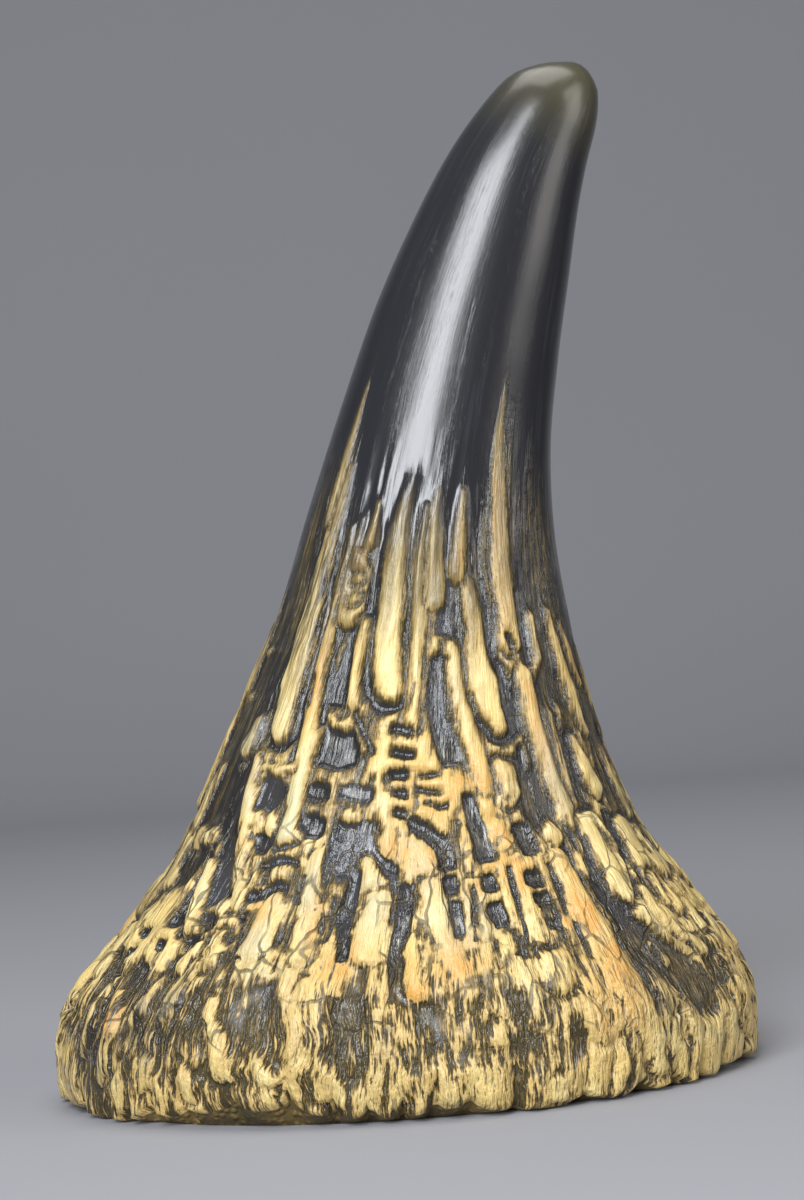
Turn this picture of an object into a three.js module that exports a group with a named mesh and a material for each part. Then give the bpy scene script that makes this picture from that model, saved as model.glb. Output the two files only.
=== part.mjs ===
// A rhinoceros horn, standing on its cut base with the tip up. It grew as one piece of keratin, so it is one solid.
// Frame: millimetres, +Z up, origin in the middle of the plane it rests on, the tip leaning towards +X.
// Its outside is a curved, tapering sweep of ellipses with a flared foot. Raised pale tongues and pads, and dark
// channels and pits between them, are worked into that surface as relief. Underneath is a shallow dish.
import * as THREE from "three";

const columnsRound = 90; // facets round the horn
const hornHeight = 226.6; // resting plane to the tip

// Sections from the foot to the tip: centre x, centre z, tilt in degrees, half length (front to back), half width
const sections = [
  [0.0, 0.0, 0, 77.0, 60.0],
  [0.3, 9.0, 0, 78.5, 61.5],
  [0.7, 18.0, 0, 78.0, 61.0],
  [1.0, 26.0, 0, 74.0, 58.0],
  [2.0, 34.0, 0, 67.5, 53.5],
  [3.0, 42.0, 0, 61.5, 49.5],
  [4.2, 51.0, 1, 54.8, 45.0],
  [5.4, 62.0, 3, 48.8, 40.5],
  [7.9, 80.0, 6, 41.2, 34.5],
  [11.6, 102.0, 10, 33.9, 28.8],
  [14.9, 125.0, 14, 28.3, 24.3],
  [19.6, 147.0, 18, 24.3, 21.2],
  [25.8, 168.0, 21, 21.6, 19.0],
  [32.4, 186.0, 24, 18.9, 16.8],
  [38.1, 200.0, 27, 16.3, 14.7],
  [43.2, 210.0, 30, 14.0, 12.7],
  [48.5, 218.3, 33, 11.6, 10.6],
  [52.1, 222.2, 34, 8.6, 7.9],
  [54.7, 224.6, 34, 5.2, 4.8],
  [56.0, hornHeight, 34, 0.0, 0.0],
];

// Heights of the rows of vertices up the outside, closer together where the relief is busy
const rowHeights = [
  0, 3, 7, 11, 15, 18.5, 22, 25, 28, 31, 34, 37, 40, 43, 46, 49, 52, 55.5, 59, 62.5, 66, 69.5, 73, 76.5, 80,
  83.5, 87, 91, 95, 99, 103, 108, 114, 120, 127, 135, 145, 156, 168, 180, 191, 201, 209, 215, 219.5, 222.6, 224.8,
  226.1,
];

// Underneath: a flat band to rest on, given as shares of the foot's own ellipse, and the dish inside it
const restingBand = { outer: 0.93, inner: 0.81 };
const dish = { depth: 13, rings: [0.62, 0.34] };

// Relief
const reliefDepth = 1.25; // a raised tongue above the middle level, or a channel below it
const reliefEdge = 1.9; // how soft the step between them is
const reliefTop = { full: 102, faint: 150 }; // heights between which the relief fades into the polished tip
const reliefFoot = { none: 1, full: 12 }; // and between which it grows above the cut edge
const rimLumps = { height: 16, depth: 1.3, largest: 4.2 }; // lumps on the rim, and how far its lower edge rises

// Every mark is a path of points: angle in degrees from the side facing -Y (positive towards +X), height, width.
// Hollows are broad dark areas lying low, worked first.
const hollows = [
  [[-52, 24, 13], [-41, 22, 16]],
  [[-66, 20, 14], [-64, 12, 10]],
  [[44, 37, 4], [46.5, 29, 13], [49.5, 22, 13], [51.5, 16, 10]],
  [[64, 23, 13], [67, 22, 12]],
  [[17.5, 22, 7], [17.5, 12, 6], [19.5, 3, 6]],
  [[7, 20, 9], [8, 14, 9]],
  [[-9.5, 29, 4], [-9, 20, 6], [-9, 13, 5]],
  [[27, 15, 6], [28, 8, 7], [29, 2, 5]],
  [[-56.5, 73, 3], [-54.5, 62, 5], [-50.5, 54, 6], [-46.5, 47.5, 5.5]],
  [[-60.5, 62, 3], [-58, 52, 3.5], [-55.5, 43, 3]],
  [[-66, 100, 5], [-66, 85, 6], [-65, 74, 5]],
  [[47, 115, 5], [47.5, 95, 5], [49, 82, 4], [49.5, 72, 3], [46, 60, 3]],
  [[58.5, 60, 3.5], [57, 50, 4], [54.5, 44, 3]],
  [[-43, 67.5, 7], [-42, 65, 8]],
  [[-41, 57, 7], [-38, 56.5, 5]],
  [[-47, 43, 5], [-44.5, 42.5, 4]],
];

// Tongues, ribs and pads stand proud, each with the width of the channel round it.
const tongues = [
  { channel: 2, path: [[-12.5, 133, 1.5], [-14.5, 122, 4], [-14.5, 100, 6.5], [-12.5, 92, 6.5], [-11, 87.5, 5.5]] },
  { channel: 2.6, path: [[15, 112, 3], [17.5, 102, 4.5], [19.5, 93, 6.2], [23.5, 85, 6.8], [25.5, 82.5, 5]] },
  { channel: 0.8, path: [[43.5, 107, 2], [44.5, 98, 2.5], [40, 93, 2.5], [34, 93.5, 2.5], [29.5, 98, 2]] },
  { channel: 1.4, path: [[27, 158, 1.2], [28.5, 145, 2.6], [31, 130, 4], [31.5, 115, 5], [32, 101, 5.5]] },
  { channel: 2, path: [[56, 108, 2.5], [58, 96, 3.6], [61, 88, 4], [65, 80, 1.5]] },
  { channel: 2, path: [[64, 108, 2], [68, 98, 4], [71, 92, 3]] },
  { channel: 2, path: [[54.5, 78, 2], [57, 70, 5], [59, 66, 4.5]] },
  { channel: 1.8, path: [[25.5, 71.5, 4.5], [26.8, 66, 5]] },
  { channel: 1.3, path: [[37, 93, 4], [38.5, 80, 4.5], [40.5, 70, 5], [43, 62, 4.5], [44, 52, 2]] },
  { channel: 1.5, path: [[-37, 121, 2], [-38, 108, 3], [-36, 85, 3.6], [-34, 77, 5], [-32, 58, 5]] },
  { channel: 2, path: [[-50, 133, 3], [-50, 115, 4.5], [-49, 97, 6], [-48, 86, 6.5], [-46.5, 79.5, 6]] },
  { channel: 2, path: [[-58.5, 81, 2.5], [-60, 75.5, 4.5]] },
  { channel: 1.2, path: [[-52.5, 74, 1.5], [-49.5, 64, 3.5], [-46, 56, 4], [-42, 49, 3.5], [-39, 45, 3]] },
  { channel: 0.5, path: [[-47.5, 72, 2.2], [-36.5, 71.5, 2.2]] },
  { channel: 1, path: [[-42.8, 61.5, 3.2], [-42.5, 59.8, 3.2]] },
  { channel: 1.8, path: [[-55.5, 53, 3], [-52, 46, 4.5], [-48.5, 41, 4]] },
  { channel: 1.5, path: [[-68, 58, 4], [-61, 57.5, 4]] },
  { channel: 1.2, path: [[-33, 123, 2], [-31, 112, 5.5], [-30.5, 103, 6]] },
  { channel: 1.2, path: [[-24, 101, 2], [-23.5, 92, 3], [-22, 85, 3]] },
  { channel: 0.8, path: [[-29.5, 81.3, 2], [-20.5, 81, 2.4], [-16.5, 75.5, 2.5]] },
  { channel: 0.8, path: [[1.5, 98.5, 4], [6, 98, 4]] },
  { channel: 1, path: [[-4.5, 127, 2], [-4, 112, 3.5], [-3.5, 98, 3], [-1.5, 82, 3.5]] },
  { channel: 1, path: [[8.5, 98, 2.5], [11, 88, 4], [14.5, 80, 4.5], [20.5, 68, 4]] },
  { channel: 1, path: [[-21.5, 54, 5.5], [-21, 47, 6.5]] },
  { channel: 1, path: [[-20, 42, 5.5], [-19, 35, 5.5]] },
  { channel: 1, path: [[-8.5, 51.5, 4.5], [-8, 48, 5.5]] },
  { channel: 1, path: [[-7, 44, 6], [-6.8, 36, 7.5]] },
  { channel: 1, path: [[0.5, 36, 3.5], [2.5, 27, 4]] },
  { channel: 1, path: [[4, 46, 6], [5.5, 38, 5], [8.5, 32, 6], [11, 25, 4.5]] },
  { channel: 1.2, path: [[18.5, 36, 3.5], [19, 30.5, 4.5]] },
  { channel: 1.2, path: [[26.5, 29, 7], [26.5, 26, 7.5]] },
  { channel: 1, path: [[29.5, 21, 3.5], [31, 13.5, 4.5]] },
  { channel: 0.6, path: [[34.5, 50, 6], [35.5, 38, 8], [37.5, 26, 9], [40, 16, 7], [42.5, 6, 6]] },
  { channel: 2, path: [[50.5, 58, 6], [50.5, 48, 8.5], [49.5, 42.5, 5.5]] },
  { channel: 2, path: [[64.5, 57, 5.5], [65, 50, 9], [64, 44, 7.5]] },
  { channel: 1.2, path: [[59, 44, 4], [60, 38, 6.5]] },
  { channel: 1.5, path: [[52.5, 40, 4], [55.5, 32, 6.5], [57, 24, 4.5]] },
  { channel: 1.4, path: [[-39.8, 39.5, 3.2], [-38.8, 34.5, 5]] },
  { channel: 1.2, path: [[-43.5, 38, 3], [-44.5, 34, 5]] },
  { channel: 1, path: [[-30, 44, 6], [-29.8, 38, 7.5]] },
  { channel: 1.2, path: [[-33.5, 27, 2.5], [-31.8, 20, 4], [-30.2, 12, 5], [-29.5, 8, 4]] },
  { channel: 1, path: [[-25, 17, 3.5], [-22.5, 11, 6], [-20, 8, 4]] },
  { channel: 1, path: [[-44.8, 14.5, 3.5], [-45.5, 6, 3.5]] },
  { channel: 1, path: [[-57.5, 27, 2.5], [-56, 20, 3], [-57.5, 9, 4]] },
  { channel: 1, path: [[-13, 13, 3], [-12, 5, 6.5]] },
  { channel: 1, path: [[24, 6.5, 4], [24, 3.5, 5]] },
];

// Pits, troughs and cracks are cut last, into whatever stands there.
const pits = [
  [[4, 93.5, 3], [4.8, 86, 3.8], [7.5, 78, 4], [10, 74, 4.2]],
  [[-28.5, 95, 3], [-28.3, 88, 4.5], [-27.8, 85.5, 4.5]],
  [[-26.5, 78.5, 3.5], [-24, 76, 6.5], [-20.5, 73, 4]],
  [[-6.3, 79.3, 2.4], [-2.2, 79.3, 2.4]],
  [[-5, 75, 2.2], [-1.5, 75, 2.2]],
  [[-3.6, 70.5, 3], [-3.5, 69, 3]],
  [[-2.2, 65.5, 2.8], [-2, 64.6, 2.8]],
  [[-0.5, 61.5, 2.5], [3.5, 58.5, 3.5], [7, 54.5, 4], [8, 51.8, 4.2]],
  [[14.5, 65, 3], [16.5, 58, 4.2], [17, 53.5, 4.4]],
  [[-26.5, 67.3, 4], [-26.3, 66.3, 4]],
  [[-26, 61.3, 4.2], [-25.8, 59, 4.4]],
  [[-17, 66.5, 3.6], [-13, 66.5, 3.6]],
  [[-13, 61, 3], [-9.5, 56, 4.5], [-4.5, 51, 4.5]],
  [[-12.2, 50, 2.5], [-12.8, 42, 3.5], [-11.5, 35, 2.4]],
  [[-1, 46.5, 2.5], [-1, 41, 4], [-2, 34, 3], [-1.2, 26, 3.5]],
  [[8.3, 47.6, 3.4], [8.7, 46.6, 3.4]],
  [[9.3, 42.5, 3.4], [9.8, 38, 3.6]],
  [[17, 47.8, 3.2], [17, 46.7, 3.2]],
  [[17.3, 41.5, 3.8], [18, 39.5, 3.6]],
  [[27, 47.3, 3], [28, 46.8, 3]],
  [[28, 43, 3.2], [28.3, 42.3, 3.2]],
  [[27.5, 58, 3.5], [28.5, 54, 4]],
  [[38.5, 112, 2], [39, 103, 2.4], [39.8, 96.5, 2.2]],
  [[-56.5, 42.3, 3], [-55.5, 42.3, 3]],
  [[-56.3, 37, 3.2], [-55.7, 37, 3.2]],
];

// Marks on the end towards +X; the other end has the same kind, moved about.
const endTongues = [
  { channel: 1.2, path: [[79, 103, 1], [80, 95, 2.5], [82, 87, 3.5], [84, 81, 2]] },
  { channel: 1.2, path: [[88, 99, 1], [88, 93, 2.5], [89, 86, 3.5], [90, 82, 2.5]] },
  { channel: 1.2, path: [[98, 101, 1], [97, 94, 3], [97, 88, 3.5]] },
  { channel: 1.2, path: [[76, 76, 2], [77, 67, 4.5], [77, 61, 4]] },
  { channel: 1.2, path: [[86, 77, 2], [87, 68, 4], [88, 59, 4]] },
  { channel: 1.2, path: [[95, 81, 2], [95, 72, 4], [95, 66, 4]] },
  { channel: 1.5, path: [[104, 84, 3], [102, 72, 4.5], [102, 62, 4]] },
  { channel: 1, path: [[75, 53, 4], [74, 45, 6]] },
  { channel: 1, path: [[82, 54, 4], [82, 44, 6]] },
  { channel: 1, path: [[91, 52, 5], [91, 41, 7]] },
  { channel: 1, path: [[100, 56, 4], [100, 46, 6]] },
  { channel: 0.8, path: [[78, 36, 4], [79, 28, 5]] },
  { channel: 0.8, path: [[87, 34, 4], [87, 24, 6]] },
  { channel: 0.8, path: [[96, 38, 4], [96, 27, 6]] },
  { channel: 0.8, path: [[84, 17, 4], [84, 7, 5]] },
  { channel: 0.8, path: [[93, 19, 4], [93, 8, 6]] },
];
const endPits = [
  [[84, 57.5, 2.5], [84, 55.5, 2.5]],
  [[92, 61, 2.5], [92, 58, 2.5]],
  [[98, 60, 2.5], [98, 59, 2.5]],
  [[83, 38, 2.4], [83, 36.5, 2.4]],
  [[92, 35, 2.4], [92, 33.5, 2.4]],
  [[80, 72, 2.6], [81, 62, 3]],
];

const degree = Math.PI / 180;
const smooth = (low, high, value) => THREE.MathUtils.smoothstep(value, low, high);

// The same random numbers on every run
function randomNumbers(seed) {
  let state = seed;
  return () => {
    state = (state * 1664525 + 1013904223) % 4294967296;
    return state / 4294967296;
  };
}

// The far side carries the same kind of marks, turned over and shifted so that no two sides match.
const farSide = { seed: 7, stretch: 1.14, shiftDegrees: 9, shiftHeight: 5, widths: [0.85, 1.3] };
const ends = { shiftDegrees: 5, shiftHeight: 12, widths: [0.7, 1.25] };
const random = randomNumbers(farSide.seed);

function onFarSide(path) {
  const turn = (random() - 0.5) * farSide.shiftDegrees;
  const rise = (random() - 0.5) * farSide.shiftHeight;
  const wider = THREE.MathUtils.lerp(...farSide.widths, random());
  const place = ([angle, height, width]) => [180 - farSide.stretch * angle + turn, height + rise, width * wider];
  return path.map(place);
}

function onEnd(path, side) {
  const turn = (random() - 0.5) * ends.shiftDegrees;
  const rise = (random() - 0.5) * ends.shiftHeight;
  const wider = THREE.MathUtils.lerp(...ends.widths, random());
  return path.map(([angle, height, width]) => [side * angle + turn, height + rise, width * wider]);
}

const allHollows = [...hollows, ...hollows.map(onFarSide)];
const allTongues = [
  ...tongues,
  ...tongues.map(({ channel, path }) => ({ channel, path: onFarSide(path) })),
  ...[1, -1].flatMap((side) => endTongues.map(({ channel, path }) => ({ channel, path: onEnd(path, side) }))),
];
const allPits = [
  ...pits,
  ...pits.map(onFarSide),
  ...[1, -1].flatMap((side) => endPits.map((path) => onEnd(path, side))),
];

// The sections as two smooth curves, one for the centre line and tilt and one for the half sizes. A mirrored
// section past the tip makes the end a round dome.
const mirrored = [54.7, 224.6, 34, -5.2, -4.8];
const stations = [...sections, mirrored];
const centres = stations.map(([x, z, tilt]) => new THREE.Vector3(x, tilt, z));
const halves = stations.map(([, , , length, width]) => new THREE.Vector3(length, width, 0));
const centreCurve = new THREE.CatmullRomCurve3(centres, false, "catmullrom");
const halfCurve = new THREE.CatmullRomCurve3(halves, false, "catmullrom");

function sectionAt(place) {
  const share = place / (stations.length - 1);
  const centre = centreCurve.getPoint(share);
  const half = halfCurve.getPoint(share);
  return { x: centre.x, z: centre.z, tilt: centre.y * degree, length: half.x, width: half.y };
}

// The place along the sections whose centre is at this height
function placeAtHeight(height) {
  let low = 0;
  let high = sections.length - 1;
  for (let step = 0; step < 30; step += 1) {
    const middle = (low + high) / 2;
    if (sectionAt(middle).z < height) low = middle;
    else high = middle;
  }
  return (low + high) / 2;
}

function smoothPoint(place, angle) {
  const section = sectionAt(place);
  const along = section.length * Math.sin(angle);
  return new THREE.Vector3(
    section.x + along * Math.cos(section.tilt),
    -section.width * Math.cos(angle),
    section.z - along * Math.sin(section.tilt),
  );
}

// Distance from a spot on the surface to a path, less the path's half width there; both in millimetres
function beyondPath(path, spot) {
  let nearest = Infinity;
  for (let i = 1; i < path.length; i += 1) {
    const [angle0, height0, width0] = path[i - 1];
    const [angle1, height1, width1] = path[i];
    const turn = THREE.MathUtils.euclideanModulo(spot.angle - angle0 + 180, 360) - 180;
    const x = turn * spot.perDegree;
    const y = (spot.height - height0) * spot.slope;
    const runX = (angle1 - angle0) * spot.perDegree;
    const runY = (height1 - height0) * spot.slope;
    const share = THREE.MathUtils.clamp((x * runX + y * runY) / (runX * runX + runY * runY), 0, 1);
    const halfWidth = THREE.MathUtils.lerp(width0, width1, share) / 2;
    nearest = Math.min(nearest, Math.hypot(x - share * runX, y - share * runY) - halfWidth);
  }
  return nearest;
}

// How far inside a raised area a spot lies, in millimetres; negative inside a low one
function raisedBy(spot) {
  const stripes = Math.cos(19 * spot.angle * degree + 2 * Math.sin(spot.height / 21));
  const fine = Math.cos(41 * spot.angle * degree + 3 * Math.sin(spot.height / 13));
  const level = smooth(125, 90, spot.height) * 1.4 - 0.9;
  let raised = level + 0.7 * stripes + 0.5 * fine;
  for (const path of allHollows) raised = Math.min(raised, beyondPath(path, spot));
  for (const { channel, path } of allTongues) {
    const outside = beyondPath(path, spot);
    raised = Math.max(Math.min(raised, outside - channel), -outside);
  }
  for (const path of allPits) raised = Math.min(raised, beyondPath(path, spot));
  return raised;
}

function reliefAt(spot) {
  const belowTip = 1 - smooth(reliefTop.full, reliefTop.faint, spot.height);
  const amount = belowTip * smooth(reliefFoot.none, reliefFoot.full, spot.height);
  return amount * reliefDepth * Math.tanh(raisedBy(spot) / reliefEdge);
}

// Lumps along the rim: a value from 0 to 1 round the foot
function rimLump(angle) {
  const wave = Math.sin(7 * angle + 0.7) + 0.8 * Math.sin(13 * angle + 2.1) + 0.5 * Math.sin(18 * angle);
  return THREE.MathUtils.clamp(0.5 + wave / 3.6, 0, 1);
}

function outerPoint(height, angle) {
  const place = placeAtHeight(height);
  const step = 0.01;
  const point = smoothPoint(place, angle);
  const round = smoothPoint(place, angle + step).sub(point);
  const up = smoothPoint(place + step, angle).sub(point);
  const outward = round.clone().cross(up).normalize();
  const spot = {
    angle: angle / degree,
    height,
    perDegree: (round.length() / step) * degree,
    slope: up.length() / Math.abs(up.z),
  };
  const nearRim = 1 - smooth(0, rimLumps.height, height);
  const swell = nearRim * rimLumps.depth * (2 * rimLump(angle) - 1);
  point.addScaledVector(outward, reliefAt(spot));
  point.addScaledVector(outward.setZ(0), swell);
  point.z += nearRim * rimLumps.largest * (1 - rimLump(angle));
  return point;
}

function underPoint(share, height, angle) {
  const foot = sections[0];
  return new THREE.Vector3(foot[3] * share * Math.sin(angle), -foot[4] * share * Math.cos(angle), height);
}

// One function for each row of vertices, from the middle of the dish, over the rim and up to the tip
const rows = [
  () => new THREE.Vector3(0, 0, dish.depth),
  ...dish.rings.toReversed().map((share) => (angle) => {
    const fromEdge = share / restingBand.inner;
    return underPoint(share, dish.depth * (1 - fromEdge * fromEdge), angle);
  }),
  (angle) => underPoint(restingBand.inner, 0, angle),
  (angle) => underPoint(restingBand.outer, 0, angle),
  ...rowHeights.map((height) => (angle) => outerPoint(height, angle)),
  () => smoothPoint(sections.length - 1, 0),
];

// A lathe gives the rows, columns and faces, and each vertex is then put in its own place.
function hornGeometry() {
  const profile = rows.map((row, index) => {
    const onAxis = index === 0 || index === rows.length - 1;
    return new THREE.Vector2(onAxis ? 0 : 1, index);
  });
  const geometry = new THREE.LatheGeometry(profile, columnsRound);
  const position = geometry.getAttribute("position");
  for (let vertex = 0; vertex < position.count; vertex += 1) {
    const column = Math.floor(vertex / rows.length) % columnsRound;
    const point = rows[vertex % rows.length]((column / columnsRound) * 2 * Math.PI);
    position.setXYZ(vertex, point.x, point.y, point.z);
  }
  geometry.computeBoundingBox();
  const middle = geometry.boundingBox.getCenter(new THREE.Vector3());
  geometry.translate(-middle.x, -middle.y, 0);
  geometry.computeVertexNormals();
  return geometry;
}

const keratin = new THREE.MeshStandardMaterial({ color: 0x8d7c52, roughness: 0.38, metalness: 0 });
const horn = new THREE.Mesh(hornGeometry(), keratin);
horn.name = "horn";

const part = new THREE.Group();
part.add(horn);

export default part;
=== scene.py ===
# A rhinoceros horn standing on its cut base: dark and polished at the tip, knobbly and fibrous at the foot.
import math
from types import SimpleNamespace

import bmesh
import bpy
import numpy as np
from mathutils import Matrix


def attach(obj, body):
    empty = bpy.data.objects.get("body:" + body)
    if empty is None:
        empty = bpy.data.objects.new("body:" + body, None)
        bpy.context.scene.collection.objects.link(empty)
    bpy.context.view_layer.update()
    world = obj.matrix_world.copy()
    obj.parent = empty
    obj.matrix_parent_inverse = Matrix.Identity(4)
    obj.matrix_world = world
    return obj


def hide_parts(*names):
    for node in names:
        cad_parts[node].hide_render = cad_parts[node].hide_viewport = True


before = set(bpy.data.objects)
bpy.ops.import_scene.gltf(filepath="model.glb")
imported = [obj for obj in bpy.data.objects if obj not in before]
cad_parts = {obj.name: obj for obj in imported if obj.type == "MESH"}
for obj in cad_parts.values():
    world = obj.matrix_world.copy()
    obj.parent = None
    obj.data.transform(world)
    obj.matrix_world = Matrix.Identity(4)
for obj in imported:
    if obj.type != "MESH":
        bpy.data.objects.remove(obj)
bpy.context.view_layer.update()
scene = bpy.context.scene
print("frame loaded")

# Camera: level, and turned a little so that the horn leans to the left
view = {
    "distance": 0.65,
    "height": 0.108,
    "sideways": 0.0059,
    "turn": 4.2,  # degrees
    "frameHeight": 0.2733,  # what the picture takes in at the horn, top to bottom
    "sensor": 36.0,
}

cameraData = bpy.data.cameras.new("camera")
cameraData.sensor_fit = "VERTICAL"
cameraData.sensor_height = view["sensor"]
cameraData.lens = view["sensor"] * view["distance"] / view["frameHeight"]
cameraData.clip_start = 0.01
camera = bpy.data.objects.new("camera", cameraData)
camera.location = (view["sideways"], -view["distance"], view["height"])
camera.rotation_euler = (math.radians(90), math.radians(view["turn"]), 0)
scene.collection.objects.link(camera)
scene.camera = camera

# Lights: a tall soft window almost behind the camera gives the long highlight, and two others fill in.
# Each has a place, a size, a power and a colour.
lights = {
    "window": ((-0.36, -1.05, 0.62), (0.68, 0.95), 23.5, (0.93, 0.96, 1.0)),
    "rightFill": ((1.05, -0.45, 0.60), (0.6, 0.9), 4.5, (1.0, 0.96, 0.9)),
    "ceiling": ((0.05, 0.05, 1.30), (1.1, 0.9), 8.0, (1.0, 0.98, 0.95)),
}
aim = (0.01, 0.0, 0.11)
sky = {"colour": (0.80, 0.83, 0.88, 1), "strength": 0.2}

for name, (place, size, power, colour) in lights.items():
    lightData = bpy.data.lights.new(name, "AREA")
    lightData.shape = "RECTANGLE"
    lightData.size, lightData.size_y = size
    lightData.energy = power
    lightData.color = colour
    light = bpy.data.objects.new(name, lightData)
    light.location = place
    away = [there - here for there, here in zip(place, aim)]
    light.rotation_euler = (
        math.atan2(math.hypot(away[0], away[1]), away[2]),
        0,
        math.atan2(away[0], -away[1]),
    )
    scene.collection.objects.link(light)

world = bpy.data.worlds.new("studio")
world.use_nodes = True
background = world.node_tree.nodes["Background"]
background.inputs["Color"].default_value = sky["colour"]
background.inputs["Strength"].default_value = sky["strength"]
scene.world = world
scene.view_settings.view_transform = "Standard"
print("camera and lights placed")


# Small helpers for building materials. A helper that is given sockets adds its node to their tree.
def addNode(tree, kind, **values):
    made = tree.nodes.new(kind)
    for name, value in values.items():
        setattr(made, name, value)
    return made


def isSocket(value):
    return isinstance(value, bpy.types.NodeSocket)


def nodeFor(values, kind, **settings):
    # a new node in the tree of the first socket among the values, which are fed to its numbered inputs
    tree = next(value.id_data for value in values.values() if isSocket(value))
    made = addNode(tree, kind, **settings)
    for slot, value in values.items():
        if isSocket(value):
            tree.links.new(value, made.inputs[slot])
        else:
            made.inputs[slot].default_value = value
    return made


def join(source, target):
    source.id_data.links.new(source, target)


def maths(operation, first, second=0.0, third=0.0, clamp=False):
    values = {0: first, 1: second, 2: third}
    return nodeFor(values, "ShaderNodeMath", operation=operation, use_clamp=clamp).outputs[0]


def product(first, second, clamp=False):
    return maths("MULTIPLY", first, second, clamp=clamp)


def swayed(value, cause, amount):
    # a value moved up and down by a noise, whose middle is 0.5
    return maths("MULTIPLY_ADD", maths("SUBTRACT", cause, 0.5), amount, value)


def ranged(value, low, high, toLow=0.0, toHigh=1.0):
    values = {"Value": value, "From Min": low, "From Max": high, "To Min": toLow, "To Max": toHigh}
    return nodeFor(values, "ShaderNodeMapRange", interpolation_type="SMOOTHSTEP").outputs["Result"]


def mixed(share, first, second, blend="MIX"):
    values = {0: share, 6: first, 7: second}
    return nodeFor(values, "ShaderNodeMix", data_type="RGBA", blend_type=blend).outputs[2]


def mixedValue(share, first, second):
    return nodeFor({0: share, 2: first, 3: second}, "ShaderNodeMix", data_type="FLOAT").outputs[0]


def ramp(value, stops):
    made = nodeFor({0: value}, "ShaderNodeValToRGB")
    elements = made.color_ramp.elements
    while len(elements) < len(stops):
        elements.new(0.5)
    for element, (place, colour) in zip(elements, stops):
        element.position = place
        element.color = colour
    return made.outputs[0]


def noise(vector, scale, detail=2.0, roughness=0.5):
    values = {"Vector": vector, "Scale": scale, "Detail": detail, "Roughness": roughness}
    return nodeFor(values, "ShaderNodeTexNoise").outputs["Fac"]


def attribute(tree, name, output="Fac"):
    return addNode(tree, "ShaderNodeAttribute", attribute_name=name).outputs[output]


def objectPlace(tree):
    return addNode(tree, "ShaderNodeTexCoord").outputs["Object"]


def addBump(shader, height, strength):
    bump = nodeFor({"Height": height, "Strength": strength, "Distance": 0.0007}, "ShaderNodeBump")
    join(bump.outputs[0], shader.inputs["Normal"])


def newMaterial(name):
    material = bpy.data.materials.new(name)
    material.use_nodes = True
    return material, material.node_tree, material.node_tree.nodes["Principled BSDF"]


# Floor and backdrop: one grey sheet that sweeps up behind
backdrop = {
    "front": -4.0,
    "back": 0.9,
    "width": 8.0,
    "bend": 0.55,
    "bendSteps": 24,
    "top": 1.9,
    "greys": [(0.3, (0.30, 0.303, 0.327, 1)), (0.7, (0.32, 0.323, 0.347, 1))],
    "roughness": 0.95,
    "specular": 0.1,
}


def makeFloor():
    bm = bmesh.new()
    left = bm.verts.new((-backdrop["width"] / 2, backdrop["front"], 0))
    right = bm.verts.new((backdrop["width"] / 2, backdrop["front"], 0))
    edge = bm.edges.new((left, right))
    end = bmesh.ops.extrude_edge_only(bm, edges=[edge])["geom"]
    moved = [item for item in end if isinstance(item, bmesh.types.BMVert)]
    bmesh.ops.translate(bm, verts=moved, vec=(0, backdrop["back"] - backdrop["front"], 0))
    edges = [item for item in end if isinstance(item, bmesh.types.BMEdge)]
    swept = bmesh.ops.spin(
        bm, geom=moved + edges, cent=(0, backdrop["back"], backdrop["bend"]), axis=(1, 0, 0),
        angle=math.radians(90), steps=backdrop["bendSteps"], use_merge=False, use_duplicate=False,
    )["geom_last"]
    edges = [item for item in swept if isinstance(item, bmesh.types.BMEdge)]
    end = bmesh.ops.extrude_edge_only(bm, edges=edges)["geom"]
    moved = [item for item in end if isinstance(item, bmesh.types.BMVert)]
    bmesh.ops.translate(bm, verts=moved, vec=(0, 0, backdrop["top"] - backdrop["bend"]))
    bmesh.ops.recalc_face_normals(bm, faces=bm.faces)
    mesh = bpy.data.meshes.new("floor")
    bm.to_mesh(mesh)
    bm.free()
    mesh.shade_smooth()
    floor = bpy.data.objects.new("floor", mesh)
    scene.collection.objects.link(floor)
    material, tree, shader = newMaterial("greyPaper")
    join(ramp(noise(objectPlace(tree), 1.4), backdrop["greys"]), shader.inputs["Base Color"])
    shader.inputs["Roughness"].default_value = backdrop["roughness"]
    shader.inputs["Specular IOR Level"].default_value = backdrop["specular"]
    mesh.materials.append(material)


makeFloor()
print("floor made")

# The horn. Sizes are in millimetres here and turned into metres at the end.
horn = {
    "columns": 400,
    "fineStep": 0.88,  # between rows of vertices along the carved part
    "coarseStep": 2.3,  # and along the smooth tip
    "fineTop": 134.0,
    "dishRows": 24,
    "bandRows": 6,
    "dishDepth": 13.0,
    "restingInner": 0.81,  # the flat band it rests on, as shares of the foot's ellipse
    "restingOuter": 0.93,
    "lip": [(0.962, 0.21, 0.5), (0.988, 0.45, 0.85)],  # share of the ellipse, height, share of the rim's lift
    "rimHeight": 17.0,  # up to here the surface follows the lumps and creases of the rim
    "rimCreases": 2.9,
    "rimBulge": 2.4,
    "noiseHeight": 260.0,  # what the grids of noise cover
    "softEdge": 3.0,  # of stains and washes
    "fieldLimits": (-3, 4.5),
    "padHeights": (126, 82),  # pads set in below the first and are complete at the second
    "flareHeights": (37, 15),  # and so do the fibres of the flare
    "farStretch": 1.14,  # marks on the far side are spread out a little
    "farHollow": 5.5,  # the widest hollow there
    "tintStray": 6,
    "channelDepth": 1.15,
    "padHeight": 0.8,
    "reliefEdge": 0.85,  # how soft the step between them is
    "reliefFull": 102.0,  # heights between which the relief fades into the polished tip
    "reliefGone": 150.0,
    "seed": 11,
}

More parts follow.
